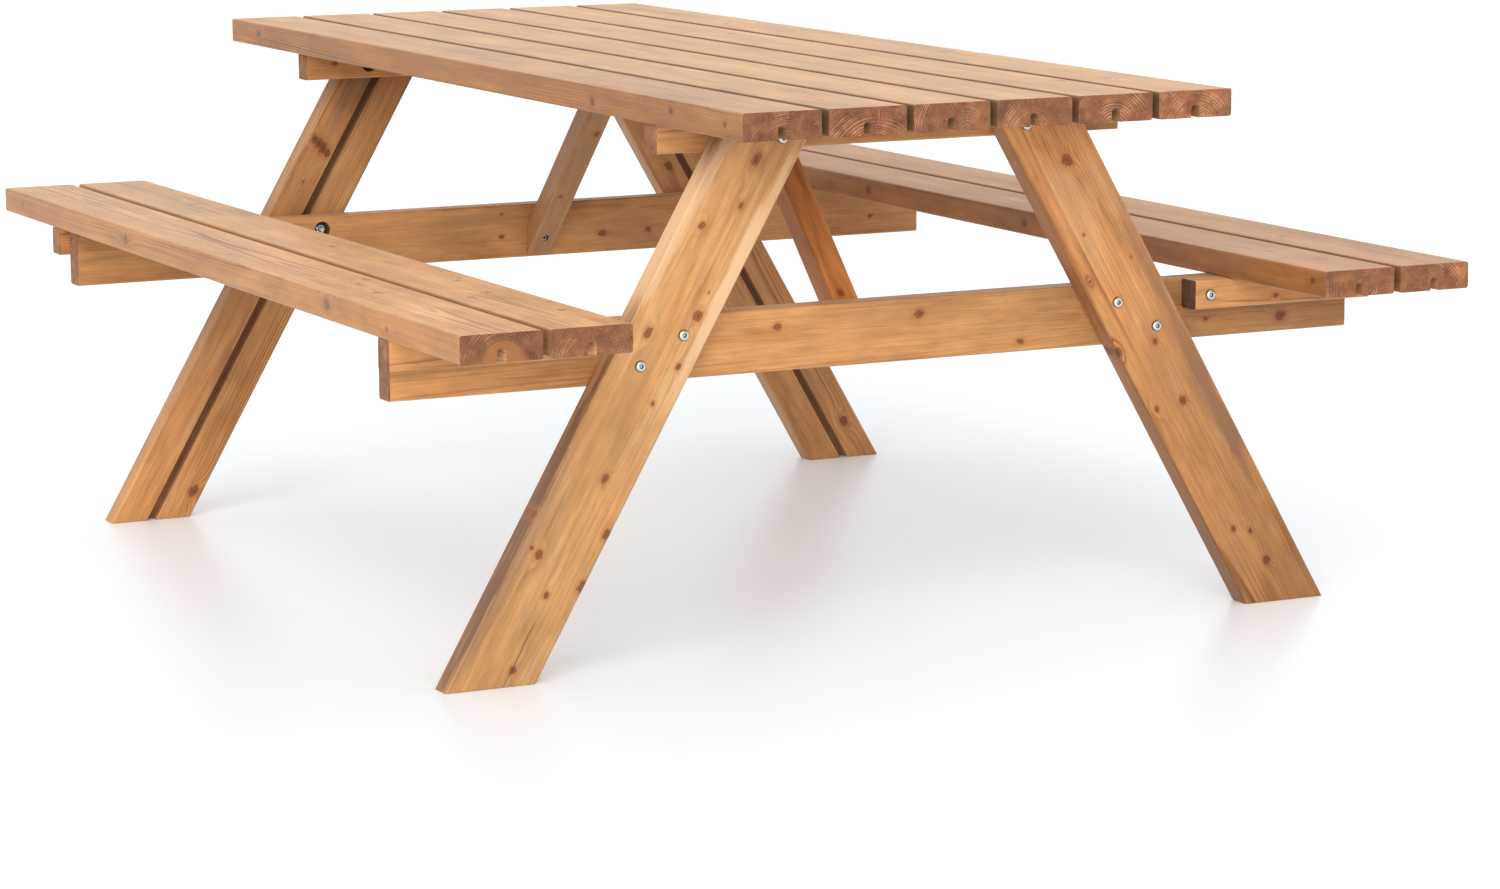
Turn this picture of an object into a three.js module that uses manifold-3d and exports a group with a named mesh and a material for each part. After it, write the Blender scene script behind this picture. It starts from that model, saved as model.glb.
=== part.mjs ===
// A-frame picnic table in planed softwood, with a bench fixed along each side.
// Millimetres. +X runs along the planks, +Y across the table and +Z up.
// The origin is on the ground, under the middle of the tabletop.
import * as THREE from "three";
import { mergeVertices } from "three/addons/utils/BufferGeometryUtils.js";
import Module from "manifold-3d";

// Timber stock. A batten is a rail ripped down the middle, less the saw cut.
const THICKNESS = 36;
const PLANK_WIDTH = 110;
const RAIL_WIDTH = 84;
const BATTEN_WIDTH = 40;
const EDGE_RADIUS = 3.5;
const GROOVE_WIDTH = 12; // relief groove down the hidden face of each plank
const GROOVE_DEPTH = 17;
const GROOVE_RADIUS = 4;

// The whole table.
const LENGTH = 1820;
const TABLE_HEIGHT = 745;
const SEAT_HEIGHT = 495;
const PLANK_GAP = 10;
const TOP_PLANKS = 6;
const SEAT_PLANKS = 2;
const SEAT_INNER_EDGE = 506; // from the middle of the table to the inner edge of a bench

// One end frame: two leaning legs in one plane, with the bearers bolted to their inner faces.
const LEG_OUTER_FACE = 678; // from the middle of the table
const LEG_TILT = THREE.MathUtils.degToRad(30); // from upright
const FOOT_HALF_SPREAD = 666.5; // to the outer edge of a foot
const RAIL_LENGTH = 1440;
const TOP_BATTEN_LENGTH = 692;
const SEAT_BATTEN_START = 450; // from the middle of the table
const SEAT_BATTEN_END = 735;

// Bolt axes, as distances from the middle of the table and from the ground.
const LEG_RAIL_BOLTS = { lower: [388, 402], upper: [326, 438] };
const LEG_TOP_BOLTS = { outer: [243, 691], inner: [182, 686] };
const SEAT_BATTEN_BOLT = [474, 439];

// Diagonal brace from a rail to the underside of the tabletop.
const BRACE_WIDTH = 40;
const BRACE_OFFSET = 38; // from the middle of the table to the middle of the brace
const BRACE_TILT = THREE.MathUtils.degToRad(45);
const BRACE_HEEL_HEIGHT = 429; // where its upper edge leaves the rail
const BRACE_SCREW_SETBACK = 28; // from the cut end to the screw's countersink

// M8 button-head bolt and hexagon nut, and the holes that they need.
const BOLT_DIAMETER = 8;
const BOLT_LENGTH = 70;
const HEAD_DIAMETER = 14;
const HEAD_HEIGHT = 4.4;
const HEAD_RIM_HEIGHT = 1.3; // upright edge of the head, below its dome
const HEAD_CROWN_DIAMETER = 7; // flat top of the dome, around the socket
const SOCKET_ACROSS_FLATS = 5;
const SOCKET_DEPTH = 2.6;
const NUT_ACROSS_FLATS = 13;
const NUT_HEIGHT = 6.5;
const NUT_HOLE_DIAMETER = 8.8;
const BOLT_HOLE_DIAMETER = 9;
const COUNTERBORE_DIAMETER = 25;
const COUNTERBORE_DEPTH = 14;
const SCREW_HOLE_DIAMETER = 5.5;
const COUNTERSINK_DIAMETER = 10.5;
const COUNTERSINK_DEPTH = 2.7;

const FIT_GAP = 0.3; // left where a sawn end meets its neighbour
const SAW_ALLOWANCE = 80; // extra length on a piece that is then sawn at an angle
const REACH = 2000; // larger than any piece, for the blocks that saw the ends
const ROUND_SIDES = 12; // sides of holes, shanks and bolt heads
const COUNTERBORE_SIDES = 20;

const TOP_UNDERSIDE = TABLE_HEIGHT - THICKNESS;
const SEAT_UNDERSIDE = SEAT_HEIGHT - THICKNESS;
const LEG_INNER_FACE = LEG_OUTER_FACE - THICKNESS;
const BEARER_INNER_FACE = LEG_INNER_FACE - THICKNESS;
const LEG_LEVEL_WIDTH = PLANK_WIDTH / Math.cos(LEG_TILT); // a leg's width on a level cut
const NUT_CORNERS = NUT_ACROSS_FLATS / Math.cos(Math.PI / 6); // across the hexagon's corners
const SOCKET_CORNERS = SOCKET_ACROSS_FLATS / Math.cos(Math.PI / 6);

const wood = { color: 0xb8793f, roughness: 0.62, metalness: 0 };
const zinc = { color: 0xb9bcc0, roughness: 0.32, metalness: 1 };

const X = new THREE.Vector3(1, 0, 0);
const Y = new THREE.Vector3(0, 1, 0);
const Z = new THREE.Vector3(0, 0, 1);

const wasm = await Module();
wasm.setup();

// A closed geometry as a solid that can be cut and joined.
function solid(geometry) {
  const bare = geometry.clone();
  bare.deleteAttribute("normal");
  bare.deleteAttribute("uv");
  const merged = mergeVertices(bare, 1e-3);
  return new wasm.Manifold(
    new wasm.Mesh({
      numProp: 3,
      vertProperties: merged.attributes.position.array,
      triVerts: new Uint32Array(merged.index.array),
    }),
  );
}

// A solid as a geometry that can be drawn.
function geometryOf(made) {
  const { vertProperties, triVerts } = made.getMesh();
  const geometry = new THREE.BufferGeometry();
  geometry.setAttribute("position", new THREE.BufferAttribute(vertProperties, 3));
  geometry.setIndex(new THREE.BufferAttribute(triVerts, 1));
  geometry.computeVertexNormals();
  return geometry;
}

// A mesh named as its node, placed at a point of its group.
function piece(name, made, finish, position) {
  const mesh = new THREE.Mesh(geometryOf(made), new THREE.MeshStandardMaterial(finish));
  mesh.name = name;
  mesh.position.copy(position);
  return mesh;
}

// Section of a timber: the width along x and the thickness along y, from 0. A relief groove opens at y = 0.
function section(width, grooved) {
  const half = width / 2;
  const r = EDGE_RADIUS;
  const shape = new THREE.Shape();
  shape.moveTo(-half + r, 0);
  if (grooved) {
    const side = GROOVE_WIDTH / 2;
    const floor = GROOVE_DEPTH - GROOVE_RADIUS;
    shape.lineTo(-side, 0);
    shape.absarc(GROOVE_RADIUS - side, floor, GROOVE_RADIUS, Math.PI, Math.PI / 2, true);
    shape.absarc(side - GROOVE_RADIUS, floor, GROOVE_RADIUS, Math.PI / 2, 0, true);
    shape.lineTo(side, 0);
  }
  shape.absarc(half - r, r, r, -Math.PI / 2, 0, false);
  shape.absarc(half - r, THICKNESS - r, r, 0, Math.PI / 2, false);
  shape.absarc(r - half, THICKNESS - r, r, Math.PI / 2, Math.PI, false);
  shape.absarc(r - half, r, r, Math.PI, Math.PI * 1.5, false);
  return shape;
}

// A straight timber centred on its length, with its width, thickness and length along the given axes.
function timber(length, width, [across, through, along], grooved = false) {
  const geometry = new THREE.ExtrudeGeometry(section(width, grooved), {
    depth: length,
    bevelEnabled: false,
    curveSegments: 1,
  });
  geometry.translate(0, 0, -length / 2);
  geometry.applyMatrix4(new THREE.Matrix4().makeBasis(across, through, along));
  return geometry;
}

// A rod along X from x0 to x1, centred on the point (y, z).
function rodX(diameter, x0, x1, y, z, sides = ROUND_SIDES) {
  const rod = new THREE.CylinderGeometry(diameter / 2, diameter / 2, x1 - x0, sides);
  rod.rotateZ(Math.PI / 2).translate((x0 + x1) / 2, y, z);
  return solid(rod);
}

// The half space x < limit or z < limit, as a large block.
function blockBelow(axis, limit) {
  const block = new THREE.BoxGeometry(2 * REACH, 2 * REACH, 2 * REACH);
  const middle = limit - REACH;
  return solid(axis === X ? block.translate(middle, 0, 0) : block.translate(0, 0, middle));
}

// A hole right through a bearer for each bolt, opened to a counterbore on its inner face, x = 0.
function counterbored(made, bolts) {
  return bolts.reduce(
    (left, [y, z]) =>
      left
        .subtract(rodX(BOLT_HOLE_DIAMETER, -1, THICKNESS + 1, y, z))
        .subtract(rodX(COUNTERBORE_DIAMETER, -1, COUNTERBORE_DEPTH, y, z, COUNTERBORE_SIDES)),
    made,
  );
}

// A leg with its origin at the middle of its foot. Its top leans towards -side, and its groove faces -X.
function leg(side) {
  const height = TOP_UNDERSIDE - FIT_GAP;
  const along = height / Math.cos(LEG_TILT) + 2 * SAW_ALLOWANCE;
  const stock = timber(along, PLANK_WIDTH, [Y.clone().negate(), X, Z], true);
  stock.translate(0, 0, along / 2 - SAW_ALLOWANCE).rotateX(side * LEG_TILT);
  const ground = solid(new THREE.BoxGeometry(REACH, REACH, height).translate(0, 0, height / 2));
  const foot = side * (FOOT_HALF_SPREAD - LEG_LEVEL_WIDTH / 2);
  const bolts = [...Object.values(LEG_RAIL_BOLTS), ...Object.values(LEG_TOP_BOLTS)];
  const drilled = bolts.reduce(
    (left, [y, z]) =>
      left.subtract(rodX(BOLT_HOLE_DIAMETER, -1, THICKNESS + 1, side * y - foot, z)),
    solid(stock).intersect(ground),
  );
  return [drilled, new THREE.Vector3(LEG_INNER_FACE, foot, 0)];
}

// The rail that carries both benches, bolted across both legs.
function rail() {
  const height = SEAT_UNDERSIDE - RAIL_WIDTH / 2;
  const bolts = [...Object.values(LEG_RAIL_BOLTS), SEAT_BATTEN_BOLT].flatMap(([y, z]) => [
    [y, z - height],
    [-y, z - height],
  ]);
  const stock = solid(timber(RAIL_LENGTH, RAIL_WIDTH, [Z, X, Y]));
  return [counterbored(stock, bolts), new THREE.Vector3(BEARER_INNER_FACE, 0, height)];
}

// The batten under the tabletop, bolted across the tops of both legs.
function topBatten() {
  const height = TOP_UNDERSIDE - BATTEN_WIDTH / 2;
  const bolts = Object.values(LEG_TOP_BOLTS).flatMap(([y, z]) => [
    [y, z - height],
    [-y, z - height],
  ]);
  const stock = solid(timber(TOP_BATTEN_LENGTH, BATTEN_WIDTH, [Z, X, Y]));
  return [counterbored(stock, bolts), new THREE.Vector3(BEARER_INNER_FACE, 0, height)];
}

// The batten under one bench, on the outer face of the rail.
function seatBatten(side) {
  const middle = (side * (SEAT_BATTEN_START + SEAT_BATTEN_END)) / 2;
  const height = SEAT_UNDERSIDE - BATTEN_WIDTH / 2;
  const [y, z] = SEAT_BATTEN_BOLT;
  const stock = solid(timber(SEAT_BATTEN_END - SEAT_BATTEN_START, BATTEN_WIDTH, [Z, X, Y]));
  const hole = rodX(BOLT_HOLE_DIAMETER, -1, THICKNESS + 1, side * y - middle, z - height);
  return [stock.subtract(hole), new THREE.Vector3(LEG_INNER_FACE, middle, height)];
}

// A countersunk screw hole along +X through the sloping face at the point (x, z) of the brace's plane.
function screwHole(x, z) {
  const wide = COUNTERSINK_DIAMETER / 2;
  const narrow = SCREW_HOLE_DIAMETER / 2;
  const mouth = wide * Math.tan(BRACE_TILT); // the round mouth reaches this far out of the slope
  const cone = [
    new THREE.Vector2(0, -BRACE_WIDTH),
    new THREE.Vector2(wide, -BRACE_WIDTH),
    new THREE.Vector2(wide, mouth),
    new THREE.Vector2(narrow, mouth + COUNTERSINK_DEPTH),
    new THREE.Vector2(narrow, BRACE_WIDTH + mouth),
    new THREE.Vector2(0, BRACE_WIDTH + mouth),
  ];
  return solid(new THREE.LatheGeometry(cone, ROUND_SIDES).rotateZ(-Math.PI / 2).translate(x, 0, z));
}

// The brace, in the plane of its own width. It leans inwards from the rail, at x = BEARER_INNER_FACE.
function brace() {
  const heel = new THREE.Vector3(BEARER_INNER_FACE, 0, BRACE_HEEL_HEIGHT);
  const rise = TOP_UNDERSIDE - BRACE_HEEL_HEIGHT;
  const along = rise / Math.cos(BRACE_TILT) + 2 * SAW_ALLOWANCE;
  const stock = timber(along, BRACE_WIDTH, [Y, Z.clone().negate(), X.clone().negate()]);
  stock.translate(-along / 2 + SAW_ALLOWANCE, 0, 0).rotateY(BRACE_TILT).translate(heel.x, 0, heel.z);
  const toe = heel.z - THICKNESS / Math.sin(BRACE_TILT); // the lower face meets the rail here
  const lower = screwHole(heel.x - BRACE_SCREW_SETBACK, toe + BRACE_SCREW_SETBACK);
  const shift = rise + THICKNESS / Math.sin(BRACE_TILT); // the two ends mirror each other
  const upper = screwHole(0, 0)
    .rotate([0, -90, 0])
    .translate([heel.x - shift + BRACE_SCREW_SETBACK, 0, TOP_UNDERSIDE - BRACE_SCREW_SETBACK]);
  const made = solid(stock)
    .intersect(blockBelow(X, heel.x - FIT_GAP))
    .intersect(blockBelow(Z, TOP_UNDERSIDE - FIT_GAP))
    .subtract(lower)
    .subtract(upper);
  return [made, new THREE.Vector3(0, -BRACE_OFFSET, 0)];
}

// A button-head bolt along -X, with the underside of its head at x = 0.
function bolt() {
  const rim = new THREE.Vector2(HEAD_DIAMETER / 2, HEAD_RIM_HEIGHT);
  const crown = new THREE.Vector2(HEAD_CROWN_DIAMETER / 2, HEAD_HEIGHT);
  const bulge = new THREE.Vector2(rim.x, crown.y);
  const dome = new THREE.QuadraticBezierCurve(rim, rim.clone().lerp(bulge, 0.75), crown);
  const profile = [
    new THREE.Vector2(0, -BOLT_LENGTH),
    new THREE.Vector2(BOLT_DIAMETER / 2, -BOLT_LENGTH),
    new THREE.Vector2(BOLT_DIAMETER / 2, 0),
    new THREE.Vector2(rim.x, 0),
    ...dome.getPoints(2),
    new THREE.Vector2(0, HEAD_HEIGHT),
  ];
  const turned = new THREE.LatheGeometry(profile, ROUND_SIDES).rotateZ(-Math.PI / 2);
  const socket = rodX(SOCKET_CORNERS, HEAD_HEIGHT - SOCKET_DEPTH, HEAD_HEIGHT + 1, 0, 0, 6);
  return solid(turned).subtract(socket);
}

// A nut with its bearing face at x = 0 and its free face at x = -NUT_HEIGHT.
function nut() {
  return rodX(NUT_CORNERS, -NUT_HEIGHT, 0, 0, 0, 6).subtract(
    rodX(NUT_HOLE_DIAMETER, -NUT_HEIGHT - 1, 1, 0, 0),
  );
}

// Planks side by side along X, from their lowest edge in Y.
function planks(group, names, firstEdge, underside) {
  const made = solid(timber(LENGTH, PLANK_WIDTH, [Y, Z, X], true));
  names.forEach((name, i) => {
    const y = firstEdge + PLANK_WIDTH / 2 + i * (PLANK_WIDTH + PLANK_GAP);
    group.add(piece(name, made, wood, new THREE.Vector3(0, y, underside)));
  });
}

const table = new THREE.Group();

const topWidth = TOP_PLANKS * PLANK_WIDTH + (TOP_PLANKS - 1) * PLANK_GAP;
const topNames = Array.from({ length: TOP_PLANKS }, (_, i) => `top_plank_${i + 1}`);
planks(table, topNames, -topWidth / 2, TOP_UNDERSIDE);

const seatWidth = SEAT_PLANKS * PLANK_WIDTH + (SEAT_PLANKS - 1) * PLANK_GAP;
planks(
  table,
  ["left_seat_plank_outer", "left_seat_plank_inner"],
  -SEAT_INNER_EDGE - seatWidth,
  SEAT_UNDERSIDE,
);
planks(table, ["right_seat_plank_inner", "right_seat_plank_outer"], SEAT_INNER_EDGE, SEAT_UNDERSIDE);

const NUT_SEAT = BEARER_INNER_FACE + COUNTERBORE_DEPTH;

// A bolt through a leg and a bearer at (y, z), and the nut on its end.
function boltAndNut(frame, name, y, z) {
  frame.add(piece(`${name}_bolt`, bolt(), zinc, new THREE.Vector3(LEG_OUTER_FACE, y, z)));
  frame.add(piece(`${name}_nut`, nut(), zinc, new THREE.Vector3(NUT_SEAT, y, z)));
}

// The two ends are the same frame, turned half a turn about the middle of the table.
for (const [end, turn] of [["near", 0], ["far", Math.PI]]) {
  const frame = new THREE.Group();
  frame.rotation.z = turn;
  table.add(frame);
  const add = (name, [made, position]) => frame.add(piece(name, made, wood, position));

  add(`${end}_rail`, rail());
  add(`${end}_top_batten`, topBatten());
  add(`${end}_brace`, brace());

  for (const [sideName, ySign] of [["left", -1], ["right", 1]]) {
    const side = turn ? -ySign : ySign; // the turned frame has its left on the other side
    const name = `${end}_${sideName}`;
    add(`${name}_leg`, leg(side));
    add(`${name}_seat_batten`, seatBatten(side));
    for (const [place, [y, z]] of Object.entries(LEG_RAIL_BOLTS))
      boltAndNut(frame, `${name}_rail_${place}`, side * y, z);
    for (const [place, [y, z]] of Object.entries(LEG_TOP_BOLTS))
      boltAndNut(frame, `${name}_top_${place}`, side * y, z);
    // The bench batten's bolt carries its nut, as one piece.
    const [y, z] = SEAT_BATTEN_BOLT;
    const nutBack = NUT_SEAT - LEG_OUTER_FACE;
    const nutBody = rodX(NUT_CORNERS, nutBack - NUT_HEIGHT, nutBack, 0, 0, 6);
    const place = new THREE.Vector3(LEG_OUTER_FACE, side * y, z);
    frame.add(piece(`${name}_seat_bolt`, bolt().add(nutBody), zinc, place));
  }
}

export default table;
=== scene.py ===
"""Looks of the picnic table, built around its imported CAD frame. Metres, +Z up.

Each timber is a fine mesh with its own log of growth rings and knots. A timber's own axes are
along (its length), across (its width) and through (its thickness), with the outer face at +through.
"""

import math
import random
from dataclasses import dataclass, field

import bmesh
import bpy
from mathutils import Matrix, Vector, noise


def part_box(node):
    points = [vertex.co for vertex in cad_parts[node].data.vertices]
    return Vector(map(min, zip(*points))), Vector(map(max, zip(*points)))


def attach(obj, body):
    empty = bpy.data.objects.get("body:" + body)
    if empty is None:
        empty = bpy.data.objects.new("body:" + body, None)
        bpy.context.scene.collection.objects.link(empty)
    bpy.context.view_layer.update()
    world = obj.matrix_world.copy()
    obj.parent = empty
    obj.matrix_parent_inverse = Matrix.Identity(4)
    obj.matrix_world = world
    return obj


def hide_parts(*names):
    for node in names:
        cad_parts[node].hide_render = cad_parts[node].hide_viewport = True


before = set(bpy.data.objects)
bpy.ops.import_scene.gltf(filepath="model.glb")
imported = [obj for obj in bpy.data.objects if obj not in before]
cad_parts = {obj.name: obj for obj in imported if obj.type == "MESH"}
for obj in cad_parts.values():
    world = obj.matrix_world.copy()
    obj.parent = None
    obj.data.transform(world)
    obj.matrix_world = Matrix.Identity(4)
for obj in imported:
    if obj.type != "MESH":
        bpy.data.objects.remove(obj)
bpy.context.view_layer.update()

MM = 0.001
X, Z = Vector((1, 0, 0)), Vector((0, 0, 1))

# Timber stock, as in the CAD model.
THICKNESS = 36 * MM
PLANK_WIDTH = 110 * MM
EDGE_RADIUS = 3.5 * MM
GROOVE_WIDTH, GROOVE_DEPTH, GROOVE_RADIUS = 12 * MM, 17 * MM, 4 * MM
LEG_TILT = math.radians(30)
BRACE_TILT = math.radians(45)

# Mesh fineness.
CORNER_STEPS = 7
STATION_PITCH = 30 * MM
ARRIS = 0.7 * MM  # the softened edge round a sawn end
WAVINESS = 0.15 * MM
SMOOTH_ANGLE = math.radians(35)

# Fasteners, with the outer sizes that they have in the CAD model.
BOLT_DIAMETER, THREAD_PITCH, THREAD_DEPTH = 8 * MM, 1.25 * MM, 0.65 * MM
THREAD_LENGTH = 16 * MM
HEAD_DIAMETER, HEAD_HEIGHT = 14 * MM, 4.4 * MM
SOCKET_ACROSS_FLATS, SOCKET_DEPTH = 5 * MM, 2.6 * MM
NUT_ACROSS_FLATS, NUT_HEIGHT = 13 * MM, 6.5 * MM
BOLT_HOLE_DIAMETER = 9 * MM
COUNTERBORE_DIAMETER, COUNTERBORE_DEPTH = 25 * MM, 14 * MM
DENT_DIAMETER, DENT_DEPTH = 15.2 * MM, 0.5 * MM  # where each head has pulled into the wood
HOLE_REACH = 60 * MM  # how far a cutter runs past the wood
SCREW_HEAD_DIAMETER, SCREW_SINK = 8.6 * MM, 0.5 * MM
SCREW_HOLE_DIAMETER, SCREW_CONE_DEPTH = 5 * MM, 4.2 * MM
SCREW_HOLE_CLEARANCE = 0.6 * MM  # across the head
BATTEN_SCREW_LENGTH, BRACE_SCREW_LENGTH = 55 * MM, 45 * MM

# Camera: where it stands, its yaw, pitch and roll, and its lens and sensor in millimetres.
CAMERA_PLACE = Vector((5.779, -2.7804, 1.262))
CAMERA_YAW, CAMERA_PITCH, CAMERA_ROLL = (math.radians(a) for a in (26.554, 9.697, -0.2535))
CAMERA_LENS, SENSOR_WIDTH = 106.46, 36
VIEW_DISTANCE = 200

# Studio: brightness of the white surround, and the key light's strength against it.
SURROUND, KEY_STRENGTH = 1.0, 0.75
KEY_TURN, KEY_HEIGHT, KEY_SPREAD = (math.radians(a) for a in (-38, 24, 50))
FLOOR_COLOUR, FLOOR_GLOW, FLOOR_ROUGHNESS = (0.85, 0.905, 0.95, 1), 0.07, 0.32
FLOOR_HALF = 60
WHITE = (1, 1, 1, 1)


# ---------------------------------------------------------------- camera, lights and floor

def make_camera():
    forward = Vector(
        (
            -math.cos(CAMERA_YAW) * math.cos(CAMERA_PITCH),
            math.sin(CAMERA_YAW) * math.cos(CAMERA_PITCH),
            -math.sin(CAMERA_PITCH),
        )
    )
    level = forward.cross(Z).normalized()
    upright = level.cross(forward)
    right = level * math.cos(CAMERA_ROLL) + upright * math.sin(CAMERA_ROLL)
    up = upright * math.cos(CAMERA_ROLL) - level * math.sin(CAMERA_ROLL)
    data = bpy.data.cameras.new("camera")
    data.lens = CAMERA_LENS
    data.sensor_width = SENSOR_WIDTH
    data.clip_end = VIEW_DISTANCE
    camera = bpy.data.objects.new("camera", data)
    camera.matrix_world = Matrix((right, up, -forward)).transposed().to_4x4()
    camera.location = CAMERA_PLACE
    bpy.context.scene.collection.objects.link(camera)
    bpy.context.scene.camera = camera


def make_lights():
    """An even white surround, and one very soft key light from the front left."""
    scene = bpy.context.scene
    scene.view_settings.view_transform = "Standard"
    world = bpy.data.worlds.new("studio")
    world.use_nodes = True
    background = world.node_tree.nodes["Background"]
    background.inputs["Color"].default_value = WHITE
    background.inputs["Strength"].default_value = SURROUND
    scene.world = world

    data = bpy.data.lights.new("key", "SUN")
    data.angle = KEY_SPREAD
    data.energy = KEY_STRENGTH * math.pi
    key = bpy.data.objects.new("key", data)
    level = math.cos(KEY_HEIGHT)
    towards = Vector((level * math.cos(KEY_TURN), level * math.sin(KEY_TURN), math.sin(KEY_HEIGHT)))
    key.rotation_euler = towards.to_track_quat("Z", "Y").to_euler()
    scene.collection.objects.link(key)


def make_floor():
    half = FLOOR_HALF
    mesh = bpy.data.meshes.new("floor")
    corners = [(-half, -half, 0), (half, -half, 0), (half, half, 0), (-half, half, 0)]
    mesh.from_pydata(corners, [], [(0, 1, 2, 3)])
    material, _, shader = new_material("floor")
    shader.inputs["Base Color"].default_value = FLOOR_COLOUR
    shader.inputs["Roughness"].default_value = FLOOR_ROUGHNESS
    shader.inputs["Emission Color"].default_value = WHITE
    shader.inputs["Emission Strength"].default_value = FLOOR_GLOW
    mesh.materials.append(material)
    floor = bpy.data.objects.new("floor", mesh)
    bpy.context.scene.collection.objects.link(floor)


# ---------------------------------------------------------------- shader arithmetic

class Field:
    """The output of a shader node, so that node maths can be written as arithmetic."""

    def __init__(self, tree, socket):
        self.tree = tree
        self.socket = socket

    def node(self, kind, inputs, output=0, **settings):
        """A new node fed by sockets or constants, keyed by input name or index."""
        made = self.tree.nodes.new(kind)
        for key, value in settings.items():
            setattr(made, key, value)
        for key, value in inputs.items():
            if isinstance(value, Field):
                self.tree.links.new(value.socket, made.inputs[key])
            else:
                made.inputs[key].default_value = value
        return Field(self.tree, made.outputs[output])

    def maths(self, operation, *others):
        return self.node("ShaderNodeMath", dict(enumerate((self, *others))), operation=operation)

    def vector(self, operation, other=None, output=0):
        values = {0: self} if other is None else {0: self, 1: other}
        return self.node("ShaderNodeVectorMath", values, output, operation=operation)

    def __add__(self, other):
        return self.maths("ADD", other)

    def __sub__(self, other):
        return self.maths("SUBTRACT", other)

    def __mul__(self, other):
        return self.maths("MULTIPLY", other)

    def __truediv__(self, other):
        return self.maths("DIVIDE", other)

    def above(self, low, high):
        """0 at low and 1 at high, smooth between them and flat beyond. low may be the larger one."""
        flipped = low > high
        low, high = min(low, high), max(low, high)
        values = {0: self, 1: low, 2: high, 3: float(flipped), 4: float(not flipped)}
        return self.node("ShaderNodeMapRange", values, interpolation_type="SMOOTHSTEP")

    def parts(self):
        made = self.tree.nodes.new("ShaderNodeSeparateXYZ")
        self.tree.links.new(self.socket, made.inputs[0])
        return [Field(self.tree, out) for out in made.outputs]

    def stretched(self, *factors):
        return self.vector("MULTIPLY", factors)

    def noise(self, scale, detail, roughness, seed):
        """Noise about 0, with no more than about 0.5 either way."""
        values = {"Vector": self, "W": seed, "Scale": scale, "Detail": detail, "Roughness": roughness}
        return self.node("ShaderNodeTexNoise", values, "Fac", noise_dimensions="4D") - 0.5

    def streaks(self, along, around, seed, detail=3.0, roughness=0.6):
        """Noise in a timber's own axes, with about so many features per metre along and round it."""
        return self.stretched(along, around, around).noise(1.0, detail, roughness, seed)

    def line_noise(self):
        """Noise of about 0 to 1 along a line, at the places that this field gives."""
        values = {"W": self, "Scale": 1.0, "Detail": 1.0}
        return self.node("ShaderNodeTexNoise", values, "Fac", noise_dimensions="1D")

    def mixed(self, factor, other):
        """This colour, going over to the other one as factor goes from 0 to 1."""
        values = {"Factor": factor, "A": self, "B": (*other, 1) if isinstance(other, tuple) else other}
        made = self.tree.nodes.new("ShaderNodeMix")
        made.data_type = "RGBA"
        for key, value in values.items():
            socket = next(s for s in made.inputs if s.name == key and s.enabled)
            if isinstance(value, Field):
                self.tree.links.new(value.socket, socket)
            else:
                socket.default_value = value
        return Field(self.tree, next(s for s in made.outputs if s.enabled))

    def scaled(self, factor):
        """This colour times a number."""
        return self.node("ShaderNodeVectorMath", {0: self, "Scale": factor}, operation="SCALE")


def attribute(tree, name, output="Fac"):
    made = tree.nodes.new("ShaderNodeAttribute")
    made.attribute_name = name
    return Field(tree, made.outputs[output])


def constant(tree, colour):
    made = tree.nodes.new("ShaderNodeRGB")
    made.outputs[0].default_value = (*colour, 1)
    return Field(tree, made.outputs[0])


def new_material(name):
    material = bpy.data.materials.new(name)
    material.use_nodes = True
    return material, material.node_tree, material.node_tree.nodes["Principled BSDF"]


def feed(tree, shader, name, value):
    tree.links.new(value.socket, shader.inputs[name])


def bump(tree, shader, height, distance, strength):
    """Turns a height field of about 0 to 1 into the shader's normal."""
    made = tree.nodes.new("ShaderNodeBump")
    made.inputs["Distance"].default_value = distance
    made.inputs["Strength"].default_value = strength
    tree.links.new(height.socket, made.inputs["Height"])
    tree.links.new(made.outputs[0], shader.inputs["Normal"])


# ---------------------------------------------------------------- wood

# Colours of the planed faces, the sawn ends, the knots, and the stains and patches of painted shade and
# painted highlight.
EARLYWOOD = (0.50, 0.245, 0.090)
LATEWOOD = (0.205, 0.068, 0.019)
RED_WOOD = (0.37, 0.145, 0.042)
PALE_WOOD = (0.58, 0.335, 0.155)
END_WOOD = (0.170, 0.063, 0.027)
END_ARC = (0.44, 0.225, 0.115)
END_PATCH = (0.42, 0.145, 0.036)
KNOT_CORE = (0.235, 0.071, 0.020)
KNOT_RIM = (0.065, 0.020, 0.008)
KNOT_HALO = (0.37, 0.135, 0.040)
DARK_LINE = (0.07, 0.022, 0.009)
STAIN_AND_PAINTED_LIGHT_COLOURS = {
    "grey": (0.245, 0.132, 0.072),
    "dark": (0.13, 0.045, 0.018),
    "orange": (0.52, 0.20, 0.06),
    "pale": (0.66, 0.42, 0.235),
}
# The narrow faces are darkened partly for soaked stain and partly as painted shade.
SIDE_SOAK_AND_SHADE = (1.0, 0.84, 0.62)  # what the stain lets through where a narrow face has soaked up more
SEED_STEP = 7.31  # between the noise seeds of two timbers

# Dry stained wood: hardly glossy, with a pale warm bloom where it is seen at a low angle.
WOOD_SPECULAR = 0.22
WOOD_SHEEN, WOOD_SHEEN_ROUGHNESS = 0.15, 0.45
WOOD_SHEEN_TINT = (1.0, 0.84, 0.66, 1)


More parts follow.
